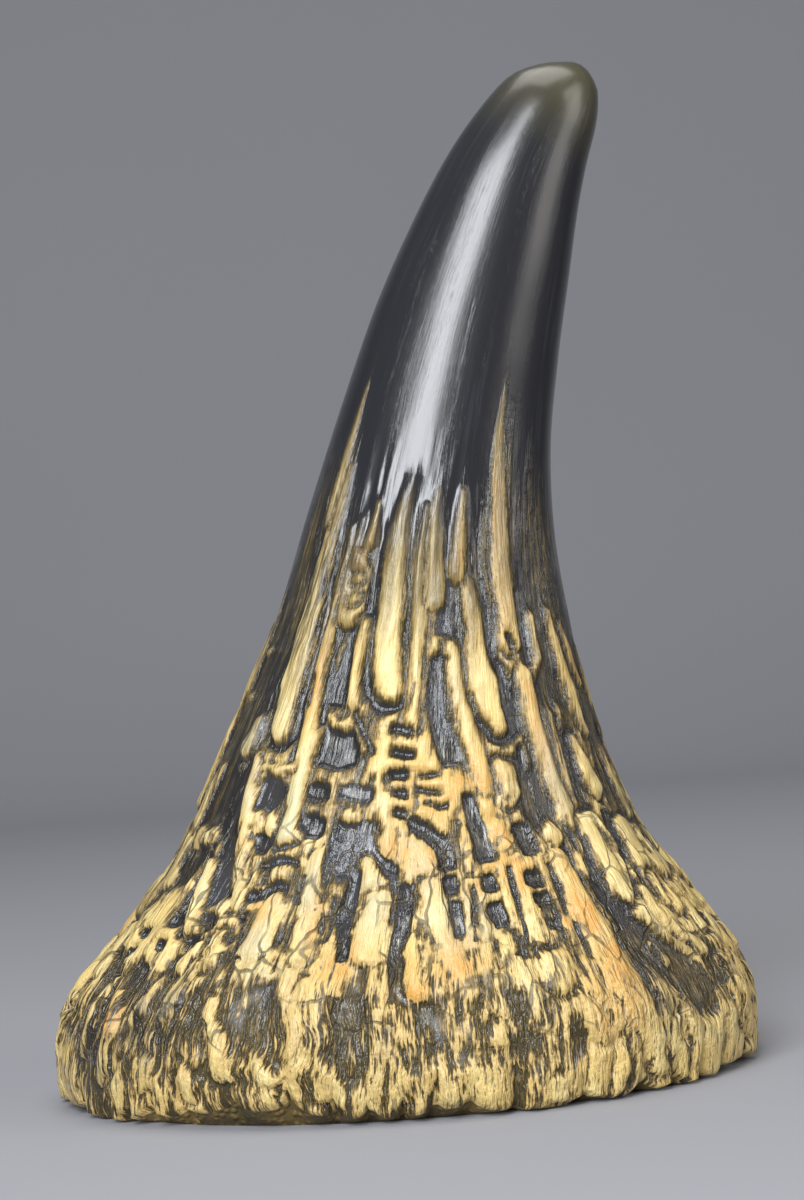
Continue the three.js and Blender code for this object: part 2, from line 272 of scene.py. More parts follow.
# How far a repeated mark may stray: turn in degrees, rise, and the factors of its width
strays = {
    "farSide": {"turn": 4.5, "rise": 2.5, "widths": (0.85, 1.3)},
    "end": {"turn": 2.5, "rise": 6, "widths": (0.7, 1.25)},
}

# Short splits along the fibres; every fifth one runs across them. Angles and leans are in degrees.
splits = {
    "count": 120,
    "heights": (22, 84),
    "widths": (0.3, 0.8),
    "lengths": (3, 11),
    "leans": (-1.2, 1.2),
    "crossLengths": (-1, 1),
    "crossLeans": (2.5, 5),
    "bends": (-0.6, 0.6),
}

# Noise that breaks up the surface: strength, cells round the horn and height of a cell
layers = {
    "bend": [(2.5, 24, 22)],
    "flareEdge": [(6, 44, 50)],
    "pads": [(0.85, 76, 34), (0.6, 150, 12)],
    "flarePads": [(1.5, 60, 44), (0.8, 120, 17)],
    "flareClumps": [(0.5, 36, 13)],
    "flareFibres": [(0.4, 170, 11)],
    "aside": [(0.9, 64, 9), (0.5, 130, 4)],
    "upward": [(1.1, 60, 8), (0.6, 110, 5)],
    "ridges": [(1, 200, 16)],
    "knobs": [(0.2, 120, 3.5)],
    "grit": [(0.16, 190, 2.2)],
    "tipFlutes": [(0.12, 26, 50)],
    "rimLift": [(0.35, 150, 20), (0.5, 64, 20)],
    "rimBulge": [(1.2, 30, 20)],
    "dish": [(0.35, 90, 2)],
    "tipBorder": [(3, 90, 50)],
}

# Sections from the foot to the tip: centre x, centre z, tilt in degrees, half length, half width
sections = [
    (0.0, 0.0, 0, 77.0, 60.0),
    (0.3, 9.0, 0, 78.5, 61.5),
    (0.7, 18.0, 0, 78.0, 61.0),
    (1.0, 26.0, 0, 74.0, 58.0),
    (2.0, 34.0, 0, 67.5, 53.5),
    (3.0, 42.0, 0, 61.5, 49.5),
    (4.2, 51.0, 1, 54.8, 45.0),
    (5.4, 62.0, 3, 48.8, 40.5),
    (7.9, 80.0, 6, 41.2, 34.5),
    (11.6, 102.0, 10, 33.9, 28.8),
    (14.9, 125.0, 14, 28.3, 24.3),
    (19.6, 147.0, 18, 24.3, 21.2),
    (25.8, 168.0, 21, 21.6, 19.0),
    (32.4, 186.0, 24, 18.9, 16.8),
    (38.1, 200.0, 27, 16.3, 14.7),
    (43.2, 210.0, 30, 14.0, 12.7),
    (48.5, 218.3, 33, 11.6, 10.6),
    (52.1, 222.2, 34, 8.6, 7.9),
    (54.7, 224.6, 34, 5.2, 4.8),
    (56.0, 226.6, 34, 0.0, 0.0),
]
pastTip = (54.7, 224.6, 34, -5.2, -4.8)  # the last section mirrored, so that the end is a round dome

# Marks on the side that faces -Y. A path is a list of (angle from -Y towards +X in degrees, height, width).
# Stains are broad areas of dark fibres with pale ones among them.
stains = [
    [(-56, 30, 6), (-50, 22, 10), (-43, 17, 10)],
    [(-47, 33, 6), (-41, 28, 6)],
    [(-66, 20, 14), (-64, 10, 11)],
    [(-38, 24, 8), (-38, 12, 8)],
    [(44, 38, 4), (47, 29, 11), (53, 22, 15), (56, 13, 10)],
    [(64, 23, 11), (67, 22, 10)],
    [(17.5, 22, 8), (17.5, 12, 7), (19.5, 3, 6)],
    [(0, 27, 5), (4, 19, 8), (9, 13, 7)],
    [(-15, 31, 3), (-13, 20, 4)],
    [(-11, 60, 4), (-9, 50, 4)],
    [(-7, 24, 6), (-6, 12, 6)],
    [(-24, 30, 3), (-22, 17, 4)],
    [(27, 16, 6), (28, 8, 7), (29, 2, 5)],
    [(-66, 105, 12), (-70, 80, 10), (-75, 55, 8)],
    [(-76, 110, 13), (-80, 85, 12), (-82, 60, 12), (-84, 30, 8)],
    [(-63, 112, 7), (-64, 92, 7), (-70, 66, 6), (-72, 50, 6)],
    [(-57, 110, 4), (-57, 92, 4), (-55, 78, 4)],
    [(-62, 68, 5), (-66, 50, 5)],
    [(-15, 60, 7), (-16, 52, 4)],
    [(52, 135, 9), (49, 112, 6), (50, 90, 6)],
    [(84, 125, 10), (86, 92, 7)],
    [(-90, 20, 9), (-96, 18, 8)],
    [(-26, 108, 4), (-27, 97, 4)],
    [(-42, 118, 4), (-43, 100, 4), (-42, 84, 4)],
    [(33, 70, 4), (33, 60, 4)],
    [(24, 14, 5), (22, 22, 5)],
    [(-48, 60, 3), (-49, 50, 5)],
]

# Washes are broad areas that are paler than the rest.
washes = [
    [(-74, 40, 9), (-64, 39, 12), (-55, 38, 11)],
    [(6, 46, 8), (28, 46, 9)],
    [(34, 22, 8), (40, 6, 8)],
    [(-4, 82, 7), (-3, 64, 9)],
    [(2, 70, 9), (10, 67, 8)],
    [(55, 10, 8), (78, 10, 9)],
    [(3, 6, 7), (12, 5, 7)],
    [(-20, 30, 5), (-26, 33, 8)],
    [(-32, 34, 8), (-44, 30, 5)],
    [(20, 66, 7), (18, 58, 6)],
]

# Hollows are dark and low.
hollows = [
    [(-56.5, 73, 3), (-54.5, 62, 5), (-50.5, 54, 6), (-46.5, 47.5, 5.5)],
    [(-60.5, 62, 3), (-58, 52, 3.5), (-55.5, 43, 3)],
    [(-66, 100, 5), (-66, 85, 6), (-65, 74, 5)],
    [(47, 115, 5), (47.5, 97, 5), (48.5, 86, 3)],
    [(41.5, 46, 2), (44, 39, 4.5), (48, 31, 9), (52.5, 24, 13), (56, 17, 9)],
    [(58.5, 60, 3.5), (57, 50, 4), (54.5, 44, 3)],
    [(-43, 67.5, 7), (-42, 65, 8)],
    [(-41, 57, 7), (-38, 56.5, 5)],
    [(-47, 43, 5), (-44.5, 42.5, 4)],
    [(-36, 52.8, 2.6), (-28, 52.8, 2.6)],
    [(-36.5, 47.3, 4), (-29, 47.3, 4)],
    [(31.5, 76, 3), (31.5, 61, 3)],
    [(43, 62, 2), (43.5, 50, 3), (44, 38, 4)],
]

# Tongues, ribs and pads stand proud, each inside a channel of the width given first.
tongues = [
    (3.0, [(-12.5, 133, 1.5), (-14.5, 122, 4), (-14.5, 100, 6.2), (-12.5, 92, 6.2), (-11, 87.5, 5.2)]),
    (3.4, [(15, 112, 3), (17.5, 102, 4.5), (19.5, 93, 6.2), (23.5, 85, 6.8), (25.5, 82.5, 5)]),
    (0.8, [(43.5, 107, 2), (44.5, 98, 2.5), (40, 93, 2.5), (34, 93.5, 2.5), (29.5, 98, 2)]),
    (1.4, [(27, 158, 1.2), (28.5, 145, 2.6), (31, 130, 4), (31.5, 115, 5), (32, 101, 5.5)]),
    (1.6, [(56, 108, 1.5), (58, 96, 3), (61, 88, 3.4), (65, 80, 1.5)]),
    (1.6, [(64, 106, 1.2), (68, 98, 3), (71, 92, 2.5)]),
    (2.0, [(54.5, 78, 2), (57, 70, 5), (59, 66, 4.5)]),
    (1.8, [(25.5, 71.5, 4.5), (26.8, 66, 5)]),
    (1.3, [(37, 93, 4), (38.5, 80, 4.5), (40.5, 70, 5), (43, 62, 4.5), (44, 52, 2)]),
    (1.5, [(-37, 121, 2), (-38, 108, 3), (-36, 85, 3.6), (-34, 77, 5), (-32, 58, 5)]),
    (2.6, [(-50, 133, 3), (-50, 115, 4.5), (-49, 97, 6), (-48, 86, 6.5), (-46.5, 79.5, 6)]),
    (2.0, [(-58.5, 81, 2.5), (-60, 75.5, 4.5)]),
    (1.2, [(-52.5, 74, 1.5), (-49.5, 64, 3.5), (-46, 56, 4), (-42, 49, 3.5), (-39, 45, 3)]),
    (0.5, [(-47.5, 72, 2.2), (-36.5, 71.5, 2.2)]),
    (1.0, [(-42.8, 61.5, 3.2), (-42.5, 59.8, 3.2)]),
    (1.8, [(-55.5, 53, 3), (-52, 46, 4.5), (-48.5, 41, 4)]),
    (1.5, [(-68, 58, 4), (-61, 57.5, 4)]),
    (1.2, [(-33, 123, 2), (-31, 112, 5.5), (-30.5, 103, 6)]),
    (1.2, [(-24, 101, 2), (-23.5, 92, 3), (-22, 85, 3)]),
    (0.8, [(-29.5, 81.3, 2), (-20.5, 81, 2.4), (-16.5, 75.5, 2.5)]),
    (0.8, [(1.5, 98.5, 4), (6, 98, 4)]),
    (1.0, [(-4.5, 127, 2), (-4, 112, 3.5), (-3.5, 98, 3), (-1.5, 82, 3.5)]),
    (1.0, [(8.5, 98, 2.5), (11, 88, 4), (14.5, 80, 4.5), (20.5, 68, 4)]),
    (0.55, [(-21.5, 54, 5.5), (-21, 47, 6.5)]),
    (0.55, [(-20, 42, 5.5), (-19, 35, 5.5)]),
    (0.55, [(-8.5, 51.5, 4.5), (-8, 48, 5.5)]),
    (0.55, [(-7, 44, 6), (-6.8, 36, 7.5)]),
    (0.55, [(0.5, 36, 3.5), (2.5, 27, 4)]),
    (0.55, [(4, 46, 6), (5.5, 38, 5), (8.5, 32, 6), (11, 25, 4.5)]),
    (1.2, [(18.5, 36, 3.5), (19, 30.5, 4.5)]),
    (1.2, [(26.5, 29, 7), (26.5, 26, 7.5)]),
    (0.55, [(29.5, 21, 3.5), (31, 13.5, 4.5)]),
    (0.6, [(34.5, 50, 6), (35.5, 38, 8), (37.5, 26, 9), (40, 16, 7), (42.5, 6, 6)]),
    (2.0, [(50.5, 58, 6), (50.5, 48, 8.5), (49.5, 42.5, 5.5)]),
    (2.0, [(64.5, 57, 5.5), (65, 50, 9), (64, 44, 7.5)]),
    (1.2, [(63.5, 43, 4), (65, 37, 5.5)]),
    (1.5, [(56, 41, 3.5), (59.5, 34, 5.5), (62.5, 27, 4.5)]),
    (1.4, [(-39.8, 39.5, 3.2), (-38.8, 34.5, 5)]),
    (1.2, [(-43.5, 38, 3), (-44.5, 34, 5)]),
    (0.55, [(-30, 44, 6), (-29.8, 38, 7.5)]),
    (1.2, [(-33.5, 27, 2.5), (-31.8, 20, 4), (-30.2, 12, 5), (-29.5, 8, 4)]),
    (0.9, [(-37, 15, 1), (-36.5, 8, 4.5), (-36.5, 4, 4)]),
    (0.9, [(-41.5, 34, 2), (-42.5, 27, 4), (-43, 24, 3)]),
    (0.9, [(-48, 31, 1.5), (-50.5, 25, 3.4), (-52, 20, 1.5)]),
    (0.9, [(-52, 13, 1), (-52.5, 7, 4.5), (-52.5, 3, 4)]),
    (0.9, [(-63, 30, 1.5), (-64.5, 22, 4), (-66, 14, 1.5)]),
    (0.9, [(-17.5, 30, 2), (-17, 21, 4), (-16.5, 11, 3.5), (-17, 4, 5)]),
    (0.9, [(-3, 20, 1.5), (-2, 10, 4), (-2, 3, 5)]),
    (0.9, [(5.5, 14, 1.5), (6, 7, 4), (6, 3, 4.5)]),
    (0.9, [(20.5, 30, 1.5), (22, 22, 3.4), (22.5, 17, 2)]),
    (0.9, [(34, 12, 1.5), (34.5, 6, 4), (34.5, 3, 4)]),
    (0.9, [(47, 14, 1.5), (47.5, 8, 4.5), (48, 3, 4.5)]),
    (0.9, [(68, 24, 2), (69, 16, 4), (69.5, 9, 4)]),
    (0.9, [(70, 24, 2), (72, 14, 4.5), (73, 6, 4.5)]),
    (0.55, [(-25, 17, 3.5), (-22.5, 11, 6), (-20, 8, 4)]),
    (0.55, [(-44.8, 14.5, 3.5), (-45.5, 6, 3.5)]),
    (0.55, [(-57.5, 27, 2.5), (-56, 20, 3), (-57.5, 9, 4)]),
    (0.55, [(-13, 13, 3), (-12, 5, 6.5)]),
    (0.55, [(24, 6.5, 4), (24, 3.5, 5)]),
    (0.6, [(-28, 126, 1.5), (-27.5, 119, 3.5)]),
    (0.8, [(-30, 110.8, 2.6), (-29.5, 110.3, 2.6)]),
    (0.8, [(-30.3, 106, 2.6), (-29.7, 105.8, 2.6)]),
    (0.6, [(12, 132, 1.5), (12, 121, 3.5), (11, 113, 3.5)]),
    (0.6, [(0.5, 131, 1.5), (1, 121, 3.5), (2, 108, 4.5)]),
    (0.5, [(-53, 150, 1.6), (-53.5, 136, 2.4), (-54, 120, 2.4)]),
    (0.8, [(36, 56.5, 4.5), (37, 55.8, 4.5)]),
    (0.6, [(12.5, 60, 2), (12.7, 50, 2.2)]),
    (0.6, [(22, 60, 2.6), (22.5, 55, 2.8)]),
    (0.8, [(-62, 57.8, 3), (-62, 57, 3)]),
    (0.6, [(-16.5, 63, 2.8), (-15, 62.7, 2.8)]),
    (0.8, [(14, 18, 3), (14, 15.5, 3.6)]),
    (0.6, [(-72, 94.5, 1.4), (-72, 93.5, 1.4)]),
    (0.6, [(-72, 84.3, 1.3), (-72, 83.7, 1.3)]),
    (0.8, [(64, 33, 3), (64, 32, 3)]),
    (0.8, [(70.5, 37, 3.4), (71, 31, 3.4)]),
    (0.6, [(47.5, 20, 1.1), (50, 17.5, 1.1)]),
    (0.6, [(48.5, 30, 1), (50, 26, 1)]),
]

# Pits, troughs and cracks are cut last.
pits = [
    [(4, 93.5, 3), (4.8, 86, 3.8), (7.5, 78, 4), (10, 74, 4.2)],
    [(-28.5, 95, 3), (-28.3, 88, 4.5), (-27.8, 85.5, 4.5)],
    [(-26.5, 77.5, 5), (-24, 75.5, 8), (-21, 74, 6)],
    [(27, 93.5, 1.2), (29, 86, 3), (30.8, 81, 2.8)],
    [(-6.6, 79.6, 2.2), (-3, 79.3, 2.4)],
    [(-6, 75, 2), (-2, 74.8, 2.2)],
    [(-5.6, 70.6, 2.2), (-3.2, 70.2, 2.4)],
    [(-4.6, 66.9, 1.8), (-2.6, 66.8, 2)],
    [(-4.2, 63, 2.2), (-2.4, 62.8, 2.2)],
    [(-0.5, 61.5, 2), (3, 59, 2.6), (6.5, 56, 3.4), (8, 52, 4)],
    [(14.5, 65, 3), (16.5, 58, 4.2), (17, 53.5, 4.4)],
    [(-27.3, 67.3, 4), (-25.3, 66.6, 4.2)],
    [(-27, 61, 4), (-24.8, 59.6, 4.4)],
    [(-18.2, 67, 3.6), (-12.8, 66.3, 4)],
    [(-10, 57, 1.4), (-8, 54, 1.8), (-4.5, 50.5, 2.6)],
    [(-12.2, 50, 2.5), (-12.8, 42, 3.5), (-11.5, 35, 2.4)],
    [(-1, 46.5, 2.5), (-1, 41, 4), (-2, 34, 3), (-1.2, 26, 3.5)],
    [(8.3, 47.6, 3.4), (8.7, 46.6, 3.4)],
    [(9.3, 42.5, 3.4), (9.8, 38, 3.6)],
    [(17, 47.8, 3.2), (17, 46.7, 3.2)],
    [(17.3, 41.5, 3.8), (18, 39.5, 3.6)],
    [(27, 47.3, 3), (28, 46.8, 3)],
    [(28, 43, 3.2), (28.3, 42.3, 3.2)],
    [(27.5, 58, 3.5), (28.5, 54, 4)],
    [(38.5, 112, 2), (39, 103, 2.4), (39.8, 96.5, 2.2)],
    [(-56.5, 42.3, 3), (-55.5, 42.3, 3)],
    [(-56.3, 37, 3.2), (-55.7, 37, 3.2)],
    [(-46.5, 43, 2.4), (-46, 43, 2.4)],
    [(-47.3, 39, 2.6), (-46.8, 39, 2.6)],
    [(-57, 32, 2.8), (-56.5, 32, 2.8)],
    [(-65.3, 39.5, 2.8), (-64.8, 39.5, 2.8)],
    [(-66.3, 35.5, 2.8), (-65.8, 35.5, 2.8)],
    [(-72.3, 34, 2.8), (-71.8, 34, 2.8)],
    [(-65.3, 31, 2.6), (-64.8, 31, 2.6)],
    [(-7.8, 70.4, 0.8), (-7.8, 67.6, 0.8)],
    [(1.5, 70.2, 0.9), (6.5, 70.8, 0.6)],
    [(1, 67.6, 1.1), (6.5, 67.2, 0.7)],
    [(3, 65, 0.7), (8, 64.2, 1.1)],
    [(-11.5, 70, 0.8), (-12.2, 62, 1)],
    [(-19.5, 58, 0.9), (-18.5, 46, 0.8)],
    [(13.5, 46, 1), (13, 36, 1.1)],
    [(22, 50, 0.9), (23, 38, 1), (22, 31, 0.8)],
    [(-24.5, 50, 0.9), (-25.3, 40, 1), (-24, 32, 0.9)],
    [(-16, 46, 0.8), (-15.5, 38, 0.8)],
    [(32, 50, 0.9), (32.5, 40, 1.1), (33.5, 30, 0.8)],
    [(44, 56, 1), (46, 46, 1.1)],
    [(49, 84, 1), (49.8, 74, 1.4), (49.5, 66, 1)],
    [(-36, 44, 1), (-33, 30, 1)],
    [(-34, 100, 1.4), (-31, 80, 1.4)],
    [(-21, 83, 1), (-17.5, 79.5, 1.2), (-13, 75.5, 1)],
    [(2, 94.6, 0.9), (7, 94.8, 0.9)],
    [(31.5, 102, 1.2), (33, 99.5, 1.2)],
    [(28, 37.5, 2.2), (29, 37.3, 2.2)],
    [(-24, 8, 0.9), (-25.5, 14, 0.9), (-24, 20, 0.9)],
]

# Marks on the end towards +X; the other end has the same kind, moved about.
endTongues = [
    (1.2, [(79, 103, 1), (80, 95, 2.5), (82, 87, 3.5), (84, 81, 2)]),
    (1.2, [(88, 99, 1), (88, 93, 2.5), (89, 86, 3.5), (90, 82, 2.5)]),
    (1.2, [(98, 101, 1), (97, 94, 3), (97, 88, 3.5)]),
    (1.2, [(76, 76, 2), (77, 67, 4.5), (77, 61, 4)]),
    (1.2, [(86, 77, 2), (87, 68, 4), (88, 59, 4)]),
    (1.2, [(95, 81, 2), (95, 72, 4), (95, 66, 4)]),
    (1.5, [(104, 84, 3), (102, 72, 4.5), (102, 62, 4)]),
    (1.0, [(75, 53, 4), (74, 45, 6)]),
    (1.0, [(82, 54, 4), (82, 44, 6)]),
    (1.0, [(91, 52, 5), (91, 41, 7)]),
    (1.0, [(100, 56, 4), (100, 46, 6)]),
    (0.8, [(78, 36, 4), (79, 28, 5)]),
    (0.8, [(87, 34, 4), (87, 24, 6)]),
    (0.8, [(96, 38, 4), (96, 27, 6)]),
    (0.8, [(84, 17, 4), (84, 7, 5)]),
    (0.8, [(93, 19, 4), (93, 8, 6)]),
]
endPits = [
    [(84, 57.5, 2.5), (84, 55.5, 2.5)],
    [(92, 61, 2.5), (92, 58, 2.5)],
    [(98, 60, 2.5), (98, 59, 2.5)],
    [(83, 38, 2.4), (83, 36.5, 2.4)],
    [(92, 35, 2.4), (92, 33.5, 2.4)],
    [(80, 72, 2.6), (81, 62, 3)],
]

# Soft patches of colour: angle, height, half width and half height in millimetres
tints = {
    "orange": [
        (13, 70, 9, 5), (8, 66, 7, 4), (1, 68, 5, 6), (-18, 48, 3, 14), (12.5, 55, 3, 7), (22, 57, 4, 6),
        (36, 32, 8, 16), (33, 40, 6, 10), (3, 50, 4, 7), (9, 30, 6, 8), (1, 28, 4, 6), (20, 50, 7, 6),
        (70, 96, 5, 8), (-31, 118, 4, 8), (29, 125, 4, 25), (11, 118, 4, 8), (41, 72, 4, 10),
        (-57, 24, 4, 8), (-3, 54, 4, 6), (5, 61, 3, 4), (-12, 34, 5, 6), (-33, 42, 4, 6), (14, 47, 5, 3),
        (24, 47, 5, 4), (-36, 20, 3, 8), (-10, 58, 4, 5), (6, 78, 3, 4), (-63, 95, 3, 7),
        (52, 125, 6, 14), (36, 84, 4, 8), (-34, 90, 3, 10),
    ],
    "grey": [
        (-22, 48, 7, 9), (-30, 38, 5, 5), (-8, 45, 6, 9), (-33, 60, 4, 14), (-15, 66, 6, 4), (-46, 50, 5, 8),
        (2, 103, 4, 4), (4, 109, 4, 5), (-14, 55, 7, 7), (2, 48, 4, 6), (-60, 77, 4, 5), (34, 130, 3, 22),
        (11, 40, 6, 8), (-25, 30, 6, 4), (1, 57, 3, 3), (42, 70, 5, 12), (-45, 66, 6, 6), (8, 86, 3, 8),
    ],
    "olive": [
        (-70, 110, 16, 34), (-68, 75, 12, 22), (-51, 104, 8, 26), (60, 130, 14, 26), (50, 90, 5, 16),
        (-48, 110, 7, 18), (33, 68, 5, 8), (47, 74, 4, 10), (80, 70, 10, 40), (-62, 15, 10, 12),
        (-46, 22, 10, 10), (48, 24, 9, 12), (-80, 50, 8, 25),
    ],
}

# Where the black of the tip begins: angle and height
tipBorder = [
    (-90, 128), (-72, 132), (-58, 134), (-53, 150), (-48, 134), (-40, 122), (-35, 123), (-31, 118),
    (-27, 127), (-21, 121), (-17, 124), (-12, 132), (-6, 122), (0, 131), (6, 121), (12, 132),
    (18, 124), (24, 132), (27, 156), (31, 152), (36, 150), (42, 134), (50, 142), (62, 140),
    (76, 132), (90, 128),
]

# How far the rough lower edge is lifted off the ground: angle and height
rimLift = [
    (-90, 0.8), (-75, 1.6), (-60, 0.3), (-50, 0.3), (-48, 2.0), (-40, 2.2), (-33, 3.2), (-27, 4.6),
    (-22, 4.4), (-17, 4.0), (-14, 2.2), (-11, 1.3), (-8, 1.7), (-5, 2.6), (-3, 1.4), (0, 1.5),
    (4, 2.0), (7, 2.6), (10, 2.0), (14, 1.2), (16, 0.1), (30, 0.0), (35, 0.5), (38, 1.5), (42, 1.0),
    (50, 0.5), (65, 1.5), (90, 0.8),
]

random = np.random.default_rng(horn["seed"])
points = np.array([2 * np.array(sections[0]) - sections[1], *sections, pastTip], dtype=float)


def sectionAt(place):
    # a smooth curve through the sections; place 0 is the foot
    first = np.clip(np.floor(place).astype(int), 0, len(sections) - 2)
    share = (place - first)[..., None]
    a, b, c, d = (points[first + step] for step in range(4))
    return 0.5 * (
        2 * b
        + (c - a) * share
        + (2 * a - 5 * b + 4 * c - d) * share**2
        + (3 * b - a - 3 * c + d) * share**3
    )


def smoothSurface(place, angle):
    centreX, centreZ, tilt, length, width = np.moveaxis(sectionAt(place), -1, 0)
    along = length * np.sin(angle)
    tilt = np.radians(tilt)
    return np.stack([
        centreX + along * np.cos(tilt),
        -width * np.cos(angle),
        centreZ - along * np.sin(tilt),
    ], axis=-1)


def smoothStep(low, high, value):
    share = np.clip((value - low) / (high - low), 0, 1)
    return share * share * (3 - 2 * share)


def patchyNoise(angle, height, cellsRound, cellHeight):
    # values from -1 to 1 on a grid that closes round the horn, blended smoothly
    values = random.uniform(-1, 1, (int(horn["noiseHeight"] / cellHeight) + 3, cellsRound))
    x = (angle % 360) / 360 * cellsRound
    y = np.clip(height, 0, horn["noiseHeight"]) / cellHeight
    column = np.floor(x).astype(int)
    row = np.floor(y).astype(int)
    shareX = smoothStep(0, 1, x - column)
    shareY = smoothStep(0, 1, y - row)
    left, right = column % cellsRound, (column + 1) % cellsRound
    low = values[row, left] * (1 - shareX) + values[row, right] * shareX
    high = values[row + 1, left] * (1 - shareX) + values[row + 1, right] * shareX
    return low * (1 - shareY) + high * shareY


def layered(name, angle, height):
    # the grids of noise of one kind, on top of each other
    return sum(strength * patchyNoise(angle, height, *cells) for strength, *cells in layers[name])


def roundTable(table, angle):
    # the front from the table, the far side from its mirror image
    front = (angle + 180) % 360 - 180
    folded = np.where(np.abs(front) > 90, np.sign(front) * 180 - front, front)
    return np.interp(folded, [entry[0] for entry in table], [entry[1] for entry in table])


def offMiddle(angle):
    # degrees away from the middle of the front or of the far side
    return np.abs((angle % 180 + 90) % 180 - 90)


def strayed(kind):
    turn = random.uniform(-strays[kind]["turn"], strays[kind]["turn"])
    rise = random.uniform(-strays[kind]["rise"], strays[kind]["rise"])
    return turn, rise, random.uniform(*strays[kind]["widths"])


def farSide(path, widest=math.inf):
    turn, rise, wider = strayed("farSide")
    return [
        (180 - horn["farStretch"] * angle + turn, height + rise, min(width * wider, widest))
        for angle, height, width in path
    ]


def atEnd(path, side):
    turn, rise, wider = strayed("end")
    return [(side * angle + turn, height + rise, width * wider) for angle, height, width in path]


def beyondPath(path, spot, power=2.0):
    # distance in millimetres to the edge of a path, less than nothing inside it; a higher power is squarer
    nearest = np.full(spot["angle"].shape, np.inf)
    for (angle0, height0, width0), (angle1, height1, width1) in zip(path, path[1:]):
        x = ((spot["angle"] - angle0 + 180) % 360 - 180) * spot["perDegree"]
        y = (spot["height"] - height0) * spot["slope"]
        runX = (angle1 - angle0) * spot["perDegree"]
        runY = (height1 - height0) * spot["slope"]
        share = np.clip((x * runX + y * runY) / (runX**2 + runY**2), 0, 1)
        halfWidth = (width0 + (width1 - width0) * share) / 2
        offX = np.abs(x - share * runX)
        offY = np.abs(y - share * runY)
        nearest = np.minimum(nearest, (offX**power + offY**power) ** (1 / power) - halfWidth)
    return nearest


def covered(paths, spot):
    # 1 inside any of the paths, 0 outside, with a soft edge
    nearest = np.min([beyondPath(path, spot) for path in paths + [farSide(path) for path in paths]], axis=0)
    return smoothStep(horn["softEdge"], -horn["softEdge"], nearest)


def raisedField(spot):
    # how far inside a raised area each vertex lies, in millimetres; negative in a low one
    angle, height = spot["angle"], spot["height"]
    bent = angle + layered("bend", angle, height)
    flare = smoothStep(*horn["flareHeights"], height + layered("flareEdge", angle, height * 0))
    field = 1.4 * smoothStep(*horn["padHeights"], height) - 1.1
    field += layered("pads", bent, height)
    field += flare * layered("flarePads", bent, height)
    field += flare * (layered("flareClumps", bent, height) - 0.02)
    field -= 0.8 * smoothStep(52, 72, offMiddle(angle)) * smoothStep(40, 60, height)
    spot = {
        **spot,
        "angle": angle + layered("aside", angle, height),
        "height": height + layered("upward", angle, height),
    }
    stained = covered(stains, spot)
    washed = covered(washes, spot)
    field += 1.1 * washed - (1.8 - 1.05 * flare) * stained + 0.9 * smoothStep(12, 4, height)
    field += 1.5 * (rimLumps(angle) - 0.7) * smoothStep(13, 5, height)
    field = np.maximum(field, -2.5 + 1.8 * flare) + flare * layered("flareFibres", bent, height)
    for path in hollows + [farSide(path, horn["farHollow"]) for path in hollows]:
        field = np.minimum(field, beyondPath(path, spot))
    proud = tongues + [(channel, farSide(path)) for channel, path in tongues]
    for side in (1, -1):
        proud += [(channel, atEnd(path, side)) for channel, path in endTongues]
    for channel, path in proud:
        outside = beyondPath(path, spot)
        field = np.maximum(np.minimum(field, outside - channel), -outside * (1 + 0.8 * flare))
    cut = pits + [farSide(path) for path in pits]
    calmer = {**spot, "angle": 0.5 * (angle + spot["angle"]), "height": 0.5 * (height + spot["height"])}
    for path in cut + [atEnd(path, side) for path in endPits for side in (1, -1)]:
        field = np.minimum(field, 1.5 * (beyondPath(path, calmer, 4.5) - 0.3))
    for path in randomSplits():
        field = np.minimum(field, 1.2 * beyondPath(path, calmer) + 0.1)
    return field


def randomSplits():
    # each is a path of three points, widest at the bend in the middle
    paths = []
    for number in range(splits["count"]):
        angle = random.uniform(0, 360)
        height = random.uniform(*splits["heights"])
        width = random.uniform(*splits["widths"])
        length, lean = random.uniform(*splits["lengths"]), random.uniform(*splits["leans"])
        if number % 5 == 0:
            length, lean = random.uniform(*splits["crossLengths"]), random.uniform(*splits["crossLeans"])
        bend = angle + lean * 0.4 + random.uniform(*splits["bends"])
        middle = (bend, height + length / 2, width * 1.5)
        paths.append([(angle, height, width), middle, (angle + lean, height + length, width)])
    return paths


def tintField(patches, spot):
    tint = np.zeros(spot["angle"].shape)
    stray = horn["tintStray"]
    mirrored = [(180 - angle + random.uniform(-stray, stray), *rest) for angle, *rest in patches]
    for angle, height, halfWidth, halfHeight in patches + mirrored:
        x = ((spot["angle"] - angle + 180) % 360 - 180) * spot["perDegree"] / halfWidth
        y = (spot["height"] - height) * spot["slope"] / halfHeight
        tint = np.maximum(tint, np.exp(-(x * x + y * y)))
    return tint


def rimLumps(degrees):
    # rounded lumps with sharp creases between them: 1 on a lump, 0 in a crease
    turn = np.radians(degrees)
    return np.sqrt(np.abs(np.sin(23 * turn + 1.6 * np.sin(3 * turn + 0.4) + 1.3 * np.sin(7 * turn))))


def gridNormals(grid):
    # outward normals of a grid of points: rows go up, columns go round
    across = np.roll(grid, -1, axis=1) - np.roll(grid, 1, axis=1)
    up = np.gradient(grid, axis=0)
    normal = np.cross(across, up)
    return normal / np.maximum(np.linalg.norm(normal, axis=-1, keepdims=True), 1e-9)


